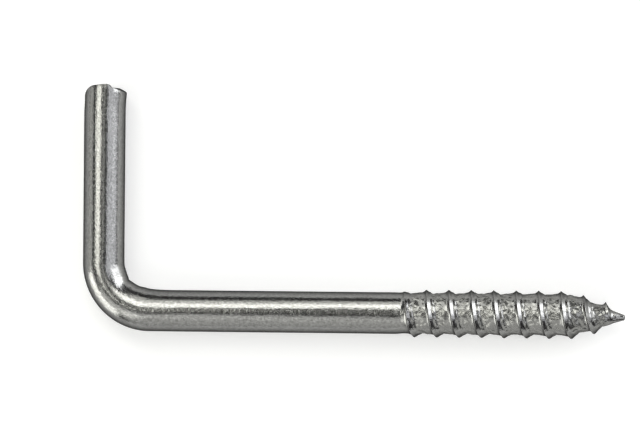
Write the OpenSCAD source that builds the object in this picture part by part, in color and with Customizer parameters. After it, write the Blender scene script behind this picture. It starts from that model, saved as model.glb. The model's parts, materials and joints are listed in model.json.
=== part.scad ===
// Screw hook, formed cold from one length of round zinc-plated steel wire.
// A plain arm with a cropped end stands square to the shank, and the shank's other end carries a
// right-hand wood-screw thread that runs out to a blunt gimlet point.
//
// The hook lies flat, as it comes to rest. Its origin is on the screw's axis where the thread
// starts, +X runs to the point, +Y runs up the arm and +Z is square to the hook's plane.

/* [Wire] */
// Diameter of the drawn wire
wire_d = 3.8; // [3:0.1:5]

/* [Hook] */
// Length over all, from the back of the arm to the point
hook_l = 50; // [42:0.5:90]
// Height over all, from the underside of the shank to the cropped end of the arm
hook_h = 22.6; // [15:0.1:50]
// Inside radius of the square bend
bend_inner_r = 2.45; // [1.5:0.05:6]

/* [Cropped end] */
// Radius of the corner that the shears rolled over, on the side away from the screw
crop_rim_r = 1.2; // [0.6:0.05:1.4]
// Slope of the high face, down to the rolled corner, in degrees
crop_lean = 6.5; // [0:0.5:12]
// Drop from the high face to the low one, where the wire tore through
crop_step = 0.35; // [0.1:0.05:0.8]
// Distance of that step from the arm's axis, on the side of the screw
crop_step_x = 0.42; // [0:0.02:1]
// Width of the low face before it slopes away
crop_land = 0.56; // [0.1:0.02:0.8]
// Slope of the low face's outer part, in degrees
crop_slope = 25; // [10:1:40]

/* [Thread] */
// Length of the screw, from the first ridge to the point
thread_l = 20.2; // [12:0.1:32]
// Distance between neighbouring crests
pitch = 2.06; // [1.4:0.02:2.6]
// Height of the crests above the wire's surface
crest_rise = 0.32; // [0.1:0.02:0.6]
// Depth of the grooves below the wire's surface
root_sink = 0.1; // [0.04:0.02:0.3]
// Length over which the first ridge grows to its full height
grow_l = 1.3; // [0.5:0.1:4]
// Length over which the core narrows to the point
taper_l = 4.6; // [3:0.1:8]
// Length of the plain nose, beyond the ridge's end
nose_l = 1; // [0.6:0.05:1.2]
// Length over which the ridge fades before it meets the nose
fade_l = 0.85; // [0.4:0.05:2]
// Diameter of the blunt point
nose_d = 0.44; // [0.3:0.02:1]

/* [Hidden] */

$fn = 64;

wire_r = wire_d / 2;
root_r = wire_r - root_sink;
ridge_h = crest_rise + root_sink;
nose_r = nose_d / 2;

bend_r = bend_inner_r + wire_r;         // to the wire's centre line
arm_x = thread_l - hook_l + wire_r;     // the arm's axis
arm_l = hook_h - wire_r - bend_r;       // the straight part, to its highest point
shank_l = -arm_x - bend_r;              // the plain straight part

// One pitch of the thread's outline, from a crest towards the point: how far along the pitch each
// corner lies, and its share of the ridge's height. The groove is deepest a quarter of the pitch
// beyond the crest, and then rises gently to the next one.
OUTLINE = [[0, 1], [0.09, 0.45], [0.24, 0], [0.5, 0.06], [0.75, 0.25], [0.91, 0.55]];
corners = len(OUTLINE);
facets = 30;                            // round one turn

first_crest = -0.05 * pitch;            // where the ridge passes +Y for the first time
helix_start = first_crest - 2 * pitch;  // well inside the shank
nose_start = thread_l - nose_l;
nose_lead = 2 * pitch;                  // length of helix that is gathered into the nose
helix_end = nose_start + 0.8 * nose_lead;
steps = floor(facets * (helix_end - helix_start) / pitch) - facets;

function ramp(x) = max(0, min(1, x));

// Place along the screw of a point on the helix. The last two turns crowd up into the nose.
function gathered(x) = x < nose_start ? x
    : thread_l - nose_l * pow(1 - (x - nose_start) / nose_lead, nose_lead / nose_l);

// Radius of the core: the groove's bottom, then the taper, then the rounded nose
function core_r(x) =
    let (cone_r = nose_r + (root_r - nose_r) * ramp((thread_l - x) / taper_l))
    let (dome = 1 - ramp((thread_l - x) / nose_r))
    cone_r * sqrt(1 - dome * dome);

// Height of the ridge: it grows from the end of the shank and fades before the nose
function ridge_at(x) =
    ridge_h * ramp(x / grow_l) * ramp((nose_start - x) / fade_l);

// A point on the thread's surface: i counts facets along the helix, k corners across the pitch
function thread_point(i, k) =
    let (x = gathered(helix_start + pitch * (i / facets + OUTLINE[k][0])))
    let (a = 360 * i / facets)
    let (r = core_r(x) + OUTLINE[k][1] * ridge_at(x))
    [x, r * cos(a), r * sin(a)];

// Number of that point in the list. The corner after the last is the next turn's first.
function at(i, k) = k < corners ? i * corners + k : (i + facets) * corners;

module shank() {
    translate([-shank_l, 0, 0]) rotate([0, 90, 0]) cylinder(r = wire_r, h = shank_l);
}

module square_bend() {
    translate([arm_x + bend_r, bend_r, 0]) rotate([0, 0, 180])
        rotate_extrude(angle = 90) translate([bend_r, 0]) circle(r = wire_r);
}

// Outline of the arm in the hook's plane: the shears rolled one corner over, and the other tore lower
module cropped_outline() {
    rim_x = 1.04 * (crop_rim_r - wire_r);
    rim_y = arm_l - crop_rim_r / cos(crop_lean) - (crop_step_x - rim_x) * tan(crop_lean);
    step_y = arm_l - crop_step;
    difference() {
        union() {
            translate([-wire_d, 0]) square([2 * wire_d, rim_y]);
            translate([rim_x, rim_y]) circle(r = crop_rim_r);
            translate([rim_x, rim_y]) rotate(crop_lean) square([wire_d, crop_rim_r]);
            translate([rim_x, 0]) square([2 * wire_d, step_y]);
        }
        translate([crop_step_x, step_y]) square([wire_d, wire_d]);
        translate([crop_step_x + crop_land, step_y]) rotate(-crop_slope) square([wire_d, wire_d]);
    }
}

module arm() {
    translate([arm_x, bend_r, 0]) intersection() {
        rotate([-90, 0, 0]) cylinder(r = wire_r, h = arm_l);
        linear_extrude(height = 2 * wire_d, center = true) cropped_outline();
    }
}

// Core and ridge of the thread as one helical surface, closed inside the shank and at the nose
module thread() {
    points = [for (i = [0:steps]) for (k = [0:corners - 1]) thread_point(i, k)];
    inner = len(points);                // the point on the axis that closes the surface's start
    tip = inner + 1;
    walls = [for (i = [0:steps - 1]) for (k = [0:corners - 1])
        if (k < corners - 1 || i + facets < steps)
            for (face = [[at(i, k), at(i, k + 1), at(i + 1, k + 1)], [at(i, k), at(i + 1, k + 1), at(i + 1, k)]])
                face];
    start_turn = [for (i = [0:facets - 1]) [inner, at(i, 0), at(i + 1, 0)]];
    start_edge = [for (k = [0:corners - 1]) [inner, at(0, k + 1), at(0, k)]];
    end_turn = [for (i = [steps - facets:steps - 1]) [at(i, corners - 1), tip, at(i + 1, corners - 1)]];
    end_edge = [for (k = [0:corners - 2]) [at(steps, k), at(steps, k + 1), tip]];
    end_join = [[at(steps - facets, corners - 1), at(steps, 0), tip]];
    polyhedron(
        concat(points, [[helix_start + pitch / 2, 0, 0], [thread_l, 0, 0]]),
        concat(walls, start_turn, start_edge, end_turn, end_edge, end_join)
    );
}

module screw_hook() {
    color("silver") union() {
        arm();
        square_bend();
        shank();
        thread();
    }
}

screw_hook();
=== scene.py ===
import json
import math

import bmesh
import bpy
from mathutils import Matrix, Vector, noise


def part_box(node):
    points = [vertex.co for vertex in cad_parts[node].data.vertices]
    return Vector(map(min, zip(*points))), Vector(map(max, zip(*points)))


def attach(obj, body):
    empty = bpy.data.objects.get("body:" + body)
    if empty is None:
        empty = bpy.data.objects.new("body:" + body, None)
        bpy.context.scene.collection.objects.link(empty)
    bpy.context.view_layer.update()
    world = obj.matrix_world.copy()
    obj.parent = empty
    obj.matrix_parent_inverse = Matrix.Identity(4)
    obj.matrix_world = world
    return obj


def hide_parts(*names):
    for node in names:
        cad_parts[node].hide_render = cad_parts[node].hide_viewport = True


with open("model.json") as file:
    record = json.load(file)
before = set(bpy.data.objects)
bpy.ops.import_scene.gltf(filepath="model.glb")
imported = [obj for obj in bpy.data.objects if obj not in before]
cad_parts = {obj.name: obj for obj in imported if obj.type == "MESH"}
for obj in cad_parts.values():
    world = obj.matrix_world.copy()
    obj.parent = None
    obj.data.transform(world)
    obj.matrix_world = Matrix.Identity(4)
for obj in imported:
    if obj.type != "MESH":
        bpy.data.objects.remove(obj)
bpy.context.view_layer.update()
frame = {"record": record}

# ---- Rolled thread and gimlet point --------------------------------------------------------------
# The hook is one length of round steel wire, and is shaped here while it is still straight, as in its
# making. Flat dies roll the ridge up out of the metal and squeeze the end down to a blunt point. The
# blank lies along X with the thread's start at 0, and the side that comes to lie inside the bend is +Y.

MM = 0.001
low, high = (Vector(corner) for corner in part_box("screw_hook"))
mounts = {mount["name"]: mount for mount in frame["record"]["mounts"]}
point_x = high.x
crest_wear = 0.035 * MM
groove_sink = 0.1 * MM
crest_r = mounts["screw_thread"]["dims"]["r_mm"] * MM - crest_wear
wire_r = mounts["arm"]["dims"]["r_mm"] * MM
groove_r = wire_r - groove_sink
ridge_h = crest_r - groove_r
pitch = 2.06 * MM
first_crest = -0.05 * pitch
taper_l = 5 * MM
nose_l = 1 * MM
nose_r = 0.22 * MM
fade_l = 0.85 * MM
crease_h = 0.06 * MM
turn_steps = 156
pitch_cuts = 38
merge_d = 0.0005 * MM


def ramp(value, start, end):
    """0 before start, 1 past end, and a smooth rise between."""
    share = max(0, min(1, (value - start) / (end - start)))
    return share * share * (3 - 2 * share)


def bump(value, centre, width):
    """1 at the centre, fading smoothly to 0 on both sides."""
    return math.exp(-((value - centre) / width) ** 2)


def ridge_share(along):
    """Height of the ridge at a share of the pitch beyond a crest: 1 on a crest, 0 in the groove. The flank
    towards the point falls to a narrow shoulder, and the other rises slowly and then steeply."""
    back = 1 - along
    shoulder = min(0.46 - 0.06 * (along - 0.145) / 0.05, 0.4 * (0.3 - along) / 0.105)
    leading = max(0, 1 - 0.54 * along / 0.145, shoulder)
    trailing = 0.32 * max(0, 1 - back / 0.7) + 0.68 * math.exp(-back / 0.09)
    return max(leading, trailing)


def core_at(x):
    """Radius of the metal under the ridge, from the shank's end to the blunt point."""
    groove = wire_r + (groove_r - wire_r) * ramp(x, -0.9 * MM, 0.4 * MM)
    left = min(1, max(0, (point_x - x) / taper_l))
    return nose_r + (groove - nose_r) * left


def ridge_at(x):
    """Height of the ridge over the core: it grows out of the shank, stands tall where the core narrows,
    and fades before the nose."""
    tall = 1 + 0.75 * (1 - min(1, (point_x - x) / taper_l))
    return ridge_h * tall * ramp(x, -0.8 * MM, 0.9 * MM) * ramp(point_x - nose_l - x, 0, fade_l)


# The outline of one pitch, with its cuts closest at the crest, is swept round and along the axis.
blank = bmesh.new()
ridge_layer = blank.verts.layers.float.new("ridge")
creased_layer = blank.verts.layers.float.new("creased")
place_layer = blank.verts.layers.float_vector.new("blank_place")
helix_start = first_crest - 2 * pitch
turns = math.ceil((point_x - helix_start) / pitch) + 1
outline = []
for cut in range(pitch_cuts + 1):
    share = cut / pitch_cuts
    along = share - 0.5 * math.sin(math.tau * share) / math.tau
    vert = blank.verts.new((helix_start + pitch * along, groove_r, 0))
    vert[ridge_layer] = ridge_share(along)
    outline.append(vert)
for here, beyond in zip(outline, outline[1:]):
    blank.edges.new((here, beyond))
bmesh.ops.spin(blank, geom=blank.verts[:] + blank.edges[:], cent=(0, 0, 0), axis=(1, 0, 0),
               dvec=(pitch / turn_steps, 0, 0), angle=math.tau, steps=turn_steps,
               use_merge=False, use_normal_flip=False, use_duplicate=False)
one_turn = blank.verts[:] + blank.edges[:] + blank.faces[:]
for turn in range(1, turns):
    copied = bmesh.ops.duplicate(blank, geom=one_turn)["geom"]
    bmesh.ops.translate(blank, verts=[part for part in copied if isinstance(part, bmesh.types.BMVert)],
                        vec=(pitch * turn, 0, 0))
bmesh.ops.remove_doubles(blank, verts=blank.verts, dist=merge_d)

for vert in blank.verts:
    x = vert.co.x
    uneven = 1 + 0.05 * noise.noise(vert.co / (1.6 * MM))
    radius = core_at(x) + vert[ridge_layer] * ridge_at(x) * uneven
    # The dies drag the soft zinc and scale of the groove into fine, shiny creases.
    in_groove = ramp(0.5 - vert[ridge_layer], 0, 0.35)
    off_ends = ramp(x, 0, 1.2 * MM) * ramp(point_x - x, 0.3 * MM, 2 * MM)
    vert[creased_layer] = off_ends * in_groove
    lump = Vector((x / 0.42, vert.co.y / 0.33, vert.co.z / 0.33)) / MM
    crease = noise.noise(lump) + 0.5 * abs(noise.noise(lump * 1.7 + Vector((7, 3, 1))))
    radius += crease_h * vert[creased_layer] * crease
    vert.co.yz *= radius / vert.co.yz.length


def cut_square(x, outward):
    """Cuts the blank square across at x, drops what lies outward and returns the open ring's edges."""
    bmesh.ops.bisect_plane(blank, geom=blank.verts[:] + blank.edges[:] + blank.faces[:], dist=merge_d,
                           plane_co=(x, 0, 0), plane_no=(outward, 0, 0), clear_outer=True)
    ring = [vert for vert in blank.verts if abs(vert.co.x - x) < 2 * merge_d]
    bmesh.ops.remove_doubles(blank, verts=ring, dist=20 * merge_d)
    return [edge for edge in blank.edges
            if edge.is_boundary and all(abs(vert.co.x - x) < 2 * merge_d for vert in edge.verts)]


def close_in(ring, sections, last_x):
    """Closes an open ring with smaller rings, each given by its radius and its x, and one last vertex."""
    for radius, x in sections:
        grown = bmesh.ops.extrude_edge_only(blank, edges=ring)["geom"]
        ring = [part for part in grown if isinstance(part, bmesh.types.BMEdge)]
        for vert in (part for part in grown if isinstance(part, bmesh.types.BMVert)):
            vert.co.yz *= radius / vert.co.yz.length
            vert.co.x = x
    verts = list({vert for edge in ring for vert in edge.verts})
    bmesh.ops.pointmerge(blank, verts=verts, merge_co=(last_x, 0, 0))


shank_x = -1.2 * MM
dome_l = 0.16 * MM
dome_rings = 7
shank_ring = cut_square(shank_x, -1)
nose_ring = cut_square(point_x - dome_l, 1)
dome_r = sum(vert.co.yz.length for edge in nose_ring for vert in edge.verts) / (2 * len(nose_ring))
quarter = [math.pi / 2 * k / dome_rings for k in range(1, dome_rings)]
dome = [(dome_r * math.cos(turn), point_x - dome_l + dome_l * math.sin(turn)) for turn in quarter]
close_in(nose_ring, dome, point_x)

# ---- Plain wire and cropped end ------------------------------------------------------------------
# The rest of the length stays as it was drawn. Shears crop it: they roll one corner over where they bite,
# and on the side towards the screw the last of the metal tears through a little lower.

arm_foot = Vector(mounts["arm"]["pos_m"])
bend_r = arm_foot.y
bend_start = arm_foot.x + bend_r
bend_end = bend_start - bend_r * math.pi / 2
crop_x = bend_end - (high.y - arm_foot.y)
crop_l = 3 * MM
rolled_r = 1.2 * MM
torn_drop = 0.35 * MM
burr_h = 0.05 * MM
edge_r = 0.05 * MM
edge_rings = 4
cap_rings = 30


def draw_out(ring, length, steps):
    """Draws an open ring out along -X in equal steps and returns the last ring's edges."""
    verts = list({vert for edge in ring for vert in edge.verts})
    made = bmesh.ops.spin(blank, geom=verts + ring, cent=(0, 0, 0), axis=(1, 0, 0),
                          dvec=(-length / steps, 0, 0), angle=0, steps=steps,
                          use_merge=False, use_normal_flip=False, use_duplicate=False)
    return [part for part in made["geom_last"] if isinstance(part, bmesh.types.BMEdge)]


def cropped(side, level):
    """How far the cropped face lies below its highest part, at a place across the arm. The high face
    slopes to the rolled corner, and beyond the tear the low one slopes away to the rim."""
    over = max(0, -side - 0.73 * MM)
    rolled = rolled_r - math.sqrt(rolled_r ** 2 - over ** 2)
    sloped = 0.12 * max(0, 0.1 * MM - side) + 0.47 * max(0, side - 0.98 * MM)
    torn = torn_drop * ramp(side - 0.135 * level, 0.2 * MM, 0.67 * MM)
    return rolled + sloped + torn


ring = draw_out(shank_ring, shank_x - bend_start, 48)
ring = draw_out(ring, bend_start - bend_end, 60)
ring = draw_out(ring, bend_end - crop_x - edge_r, 36)
corner = [math.pi / 2 * k / edge_rings for k in range(1, edge_rings + 1)]
cap = [(wire_r - edge_r * (1 - math.cos(turn)), crop_x + edge_r * (1 - math.sin(turn))) for turn in corner]
cap += [((wire_r - edge_r) * k / cap_rings, crop_x) for k in range(cap_rings - 1, 0, -1)]
close_in(ring, cap, crop_x)

# The face is finely torn, and the shears push the end over a hair and raise a burr beyond the tear.
for vert in blank.verts:
    depth = vert.co.x - crop_x
    if depth > crop_l:
        continue
    side, level = vert.co.yz
    rough = 0.006 * MM + 0.02 * MM * ramp(side, 0.3 * MM, 0.7 * MM)
    grit = noise.noise(Vector((0, side, level)) / (0.25 * MM))
    face = 0.012 * MM + cropped(side, level) + rough * grit
    vert.co.x = crop_x + face + depth * (1 - face / crop_l)
    burr = ramp(side, 0.3 * MM, 1.7 * MM) * (1 - ramp(depth, 0.1 * MM, 1.2 * MM))
    vert.co.y += 0.045 * MM * (1 - ramp(depth, 0.5 * MM, 2.5 * MM)) + burr_h * burr

# ---- Square bend ---------------------------------------------------------------------------------
# The arm is bent cold round a small pin. The pin pinches the metal inside the bend into a swelling with
# one short crease, and the bench leaves the shank a hair flatter and the point a hair low.

flat_h = 0.05 * MM
bend_flat_h = 0.06 * MM
wave_h = 0.007 * MM
droop_x = 11.5 * MM
droop_h = 0.2 * MM


def pinched(turn):
    """How far the inside of the bend swells, for a place on the wire in degrees round from the arm."""
    swelling = 0.065 * bump(turn, 18, 13) + 0.05 * bump(turn, 54, 8) + 0.17 * bump(turn, 77, 18)
    return MM * (swelling - 0.075 * bump(turn, 37.6, 4))


def bent(place):
    """Where a point of the straight blank lies once the arm is bent up."""
    turn = max(0, min(math.pi / 2, (bend_start - place.x) / bend_r))
    past = max(0, bend_end - place.x)
    inward = Vector((math.sin(turn), math.cos(turn), 0))
    along = Vector((-math.cos(turn), math.sin(turn), 0))
    centre = Vector((max(place.x, bend_start), bend_r, 0))
    return centre + inward * (place.y - bend_r) + along * past + Vector((0, 0, place.z))


bmesh.ops.recalc_face_normals(blank, faces=blank.faces)
for vert in blank.verts:
    place = vert.co.copy()
    vert[place_layer] = place / MM
    radius = place.yz.length
    if place.x < 0 and radius > 0:
        inside = max(0, place.y / radius)
        round_bend = (bend_start - place.x) / bend_r
        round_wire = math.atan2(place.y, place.z)
        radius += pinched(90 - math.degrees(round_bend)) * inside ** 3
        radius -= flat_h * ramp(place.x, -16 * MM, -4 * MM) * bump(round_wire, 0, 0.4)
        radius -= bend_flat_h * bump(round_bend, 1.1, 0.5) * bump(round_wire, 0.73, 0.35)
        wave = noise.noise(Vector((place.x / 3, place.y, place.z)) / MM)
        radius += wave_h * (wave - 0.5)
        place.yz *= radius / place.yz.length
    droop = max(0, place.x - droop_x) / (point_x - droop_x)
    place.y -= droop_h * droop ** 2
    vert.co = bent(place)

hook_mesh = bpy.data.meshes.new("hook_wire")
blank.to_mesh(hook_mesh)
blank.free()
hook_mesh.shade_smooth()
hook = bpy.data.objects.new("hook_wire", hook_mesh)
bpy.context.scene.collection.objects.link(hook)

# ---- Zinc plating --------------------------------------------------------------------------------
# The hook is barrel-plated with bright zinc under a clear passivate film, the coat, and a thin haze of
# dust, the sheen. Drawing lines run along the wire, the plate has a fine grain, and the grooves are
# rougher and a darker grey. The patterns follow the blank as it was before the bend.


class Shade:
    """One socket of a material's nodes, so that shading can be written as plain arithmetic."""

    def __init__(self, tree, socket=None):
        self.tree = tree
        self.socket = socket

    def node(self, kind, settings=None, sockets=None, output=0):
        """Adds a node: its settings first, then the values or links of its sockets."""
        made = self.tree.nodes.new("ShaderNode" + kind)
        for name, value in (settings or {}).items():
            setattr(made, name, value)
        for name, value in (sockets or {}).items():
            if isinstance(value, Shade):
                self.tree.links.new(value.socket, made.inputs[name])
            else:
                made.inputs[name].default_value = value
        return Shade(self.tree, made.outputs[output] if made.outputs else None)

    def maths(self, operation, first, second):
        return self.node("Math", {"operation": operation}, {0: first, 1: second})

    def __add__(self, other):
        return self.maths("ADD", self, other)

    __radd__ = __add__

    def __mul__(self, other):
        return self.maths("MULTIPLY", self, other)

    __rmul__ = __mul__

    def __sub__(self, other):
        return self.maths("SUBTRACT", self, other)

    def __rsub__(self, other):
        return self.maths("SUBTRACT", other, self)


zinc = bpy.data.materials.new("zinc_plate")
zinc.use_nodes = True
zinc.node_tree.nodes.clear()
plate = Shade(zinc.node_tree)
on_blank = plate.node("Attribute", {"attribute_name": "blank_place"}, output="Vector")
creased = plate.node("Attribute", {"attribute_name": "creased"}, output="Fac")
along_wire = plate.node("VectorMath", {"operation": "MULTIPLY"}, {0: on_blank, 1: (0.05, 1, 1)}, "Vector")
lines = plate.node("TexNoise", None, {"Vector": along_wire, "Scale": 5, "Detail": 4, "Roughness": 0.6})
stretched = plate.node("VectorMath", {"operation": "MULTIPLY"}, {0: on_blank, 1: (0.75, 1, 1)}, "Vector")
grain = plate.node("TexNoise", None, {"Vector": stretched, "Scale": 5, "Detail": 2, "Roughness": 0.6})
mottle = plate.node("TexNoise", None, {"Vector": on_blank, "Scale": 2.2, "Detail": 3, "Roughness": 0.6})
crumple = plate.node("TexNoise", None, {"Vector": on_blank, "Scale": 1.7, "Detail": 1, "Roughness": 0.5})

# A colour Mix takes its two colours at sockets 6 and 7 and gives the result at output 2.
brightness = 2.4 * grain + 0.6 * mottle + 0.2 * lines - 1.1
bright = plate.node("Mix", {"data_type": "RGBA"},
                    {0: brightness, 6: (0.66, 0.66, 0.64, 1), 7: (1, 1, 0.98, 1)}, 2)
# The creased grooves are given a darker grey than the rest of the plate.
colour = plate.node("Mix", {"data_type": "RGBA"}, {0: creased, 6: bright, 7: (0.56, 0.56, 0.54, 1)}, 2)
surface = 0.25 * lines + 0.5 * grain + 0.2 * mottle + 5 * creased * crumple
relief = plate.node("Bump", None, {"Strength": 1, "Distance": 0.03 * MM, "Height": surface}, "Normal")
finish = plate.node("BsdfPrincipled", None, {
    "Base Color": colour,
    "Metallic": 1,
    "Roughness": 0.14 + 0.09 * grain + 0.08 * creased,
    "Specular Tint": (0.3, 0.3, 0.3, 1),
    "Coat Weight": 0.93 - 0.2 * creased,
    "Coat IOR": 1,
    "Coat Tint": (0.37, 0.37, 0.37, 1),
    "Sheen Weight": 0.1,
    "Sheen Roughness": 0.35,
    "Normal": relief,
})
plate.node("OutputMaterial", None, {"Surface": finish})
hook_mesh.materials.append(zinc)

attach(hook, "root")
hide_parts("screw_hook")

# ---- Sheet of white paper ------------------------------------------------------------------------
# The hook lies as it comes to rest, on the crests of its thread, on a sheet of matt white paper. The
# paper is lit by the lamps, and a faint glow of its own lifts it to white where it is looked at.

half_sheet = 2
sheet = bmesh.new()
bmesh.ops.create_grid(sheet, x_segments=1, y_segments=1, size=half_sheet)
bmesh.ops.translate(sheet, verts=sheet.verts, vec=(0, 0, low.z))
floor_mesh = bpy.data.meshes.new("floor")
sheet.to_mesh(floor_mesh)
sheet.free()
floor = bpy.data.objects.new("floor", floor_mesh)
bpy.context.scene.collection.objects.link(floor)

paper = bpy.data.materials.new("white_paper")
paper.use_nodes = True
paper.node_tree.nodes.clear()
matt = Shade(paper.node_tree)
looked_at = matt.node("LightPath", output="Is Camera Ray")
mirrored = matt.node("LightPath", output="Is Glossy Ray")
seen_through = matt.node("LightPath", output="Is Transmission Ray")
glow = matt.node("Emission", None, {"Strength": 0.4 * (looked_at + mirrored + seen_through)})
fibre = matt.node("BsdfDiffuse", None, {"Color": (0.72, 0.72, 0.72, 1)})
lit = matt.node("AddShader", None, {0: fibre, 1: glow})
matt.node("OutputMaterial", None, {"Surface": lit})
floor_mesh.materials.append(paper)

# ---- Soft studio lamps ---------------------------------------------------------------------------
# Fourteen soft panels stand round the camera like the walls of a small tent, and leave the camera's own
# opening dark. The brightest are overhead on the arm's side, and cool ones stand at the point's end.

world = bpy.data.worlds.new("studio")
world.use_nodes = True
world.node_tree.nodes["Background"].inputs["Color"].default_value = (0.06, 0.06, 0.06, 1)
bpy.context.scene.world = world

stand_off = 0.6


def softbox(name, toward, spread, radiance, colour):
    """A lamp panel that faces the hook: where it stands from overhead, in degrees towards +X and +Y, and
    how wide it looks round the hook and up from the floor."""
    lean = math.radians(math.hypot(*toward))
    heading = math.atan2(toward[1], toward[0])
    centre = Vector((math.sin(lean) * math.cos(heading), math.sin(lean) * math.sin(heading), math.cos(lean)))
    centre *= stand_off
    lamp = bpy.data.lights.new(name, "AREA")
    lamp.shape = "RECTANGLE"
    lamp.size, lamp.size_y = (2 * stand_off * math.tan(math.radians(angle) / 2) for angle in spread)
    lamp.energy = radiance * math.pi * lamp.size * lamp.size_y
    lamp.color = colour
    holder = bpy.data.objects.new(name, lamp)
    holder.matrix_world = Matrix.Translation(centre) @ centre.to_track_quat("Z", "Y").to_matrix().to_4x4()
    bpy.context.scene.collection.objects.link(holder)


softbox("overhead", (-2, 31), (35, 22), 3.2, (1, 1, 0.95))
softbox("overhead_near", (5, 15), (14, 12), 1.5, (1, 1, 0.95))
softbox("overhead_far", (-4, 52), (31, 20), 1.3, (1, 1, 0.95))
softbox("upper_left", (-38, 54), (24, 40), 1.7, (1, 1, 0.97))
softbox("left_strip", (-28, 4), (16, 26), 2.8, (1, 1, 0.93))
softbox("left_inner", (1.5, 0), (12, 8), 0.8, (1, 1, 0.95))
softbox("right_wall", (53, 3), (29, 60), 1.2, (0.94, 0.95, 1.0))
softbox("right_near", (72, 30), (30, 46), 2.8, (0.97, 0.98, 1.0))
softbox("right_far", (61, 58), (26, 54), 3.9, (0.97, 0.98, 1.0))
softbox("right_low", (34, -36), (18, 22), 1.3, (0.97, 0.98, 1.0))
softbox("left_wall", (-77, -42), (40, 54), 3.6, (1, 1, 0.95))
softbox("left_band", (-74, -4), (28, 28), 0.95, (1, 1, 0.95))
softbox("left_low", (-36, -33), (32, 28), 1.2, (1, 1, 0.95))
softbox("near_side", (-10, -53), (44, 70), 0.8, (1, 1, 0.97))

# ---- Camera --------------------------------------------------------------------------------------
# It looks down on the hook from well above, a little from the point's end, through a long lens.

tilt = math.radians(9)
roll = math.radians(0.5)
distance = 0.8
view_width = 58.36 * MM
along_x = Vector((math.cos(tilt), 0, -math.sin(tilt)))
along_y = Vector((0, 1, 0))
across = math.cos(roll) * along_x + math.sin(roll) * along_y
upward = math.cos(roll) * along_y - math.sin(roll) * along_x
backward = across.cross(upward)
aim = (low + high) / 2 + Vector((-3.09, -0.14, 0)) * MM
camera_data = bpy.data.cameras.new("camera")
camera_data.sensor_width = 36
camera_data.lens = camera_data.sensor_width * distance / view_width
camera_data.clip_start = 0.01
camera = bpy.data.objects.new("camera", camera_data)
facing = Matrix((across, upward, backward)).transposed().to_4x4()
camera.matrix_world = Matrix.Translation(aim + backward * distance) @ facing
bpy.context.scene.collection.objects.link(camera)
bpy.context.scene.camera = camera
bpy.context.scene.view_settings.view_transform = "Standard"
